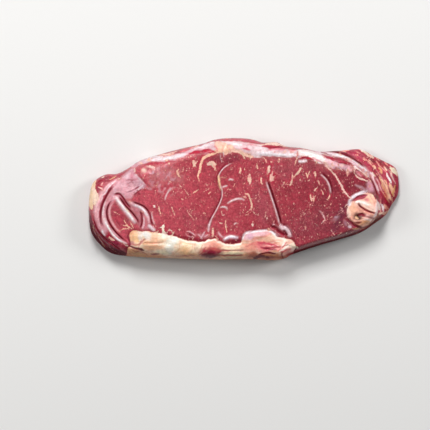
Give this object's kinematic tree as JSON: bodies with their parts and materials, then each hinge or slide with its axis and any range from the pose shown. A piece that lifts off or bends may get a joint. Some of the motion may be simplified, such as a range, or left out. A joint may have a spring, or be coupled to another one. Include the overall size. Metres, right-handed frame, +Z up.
{
  "type": "bison strip steak",
  "caption": "Raw boneless strip steak: thick lean muscle with a fat cap along one side, folds at one end and a thin tail at the other, lying on its cut face.",
  "frame": {"origin": "under the middle of the steak, on the plane of its flat lower cut face", "axes": "+X along the steak towards its thin tail, -Y towards the fat cap, +Z up out of the upper cut face"},
  "size_m": [0.1996, 0.0785, 0.022],
  "materials": {
    "raw_meat": "moist raw red meat with cream fat"
  },
  "bodies": {
    "root": {"steak": "raw_meat"}
  },
  "joints": []
}
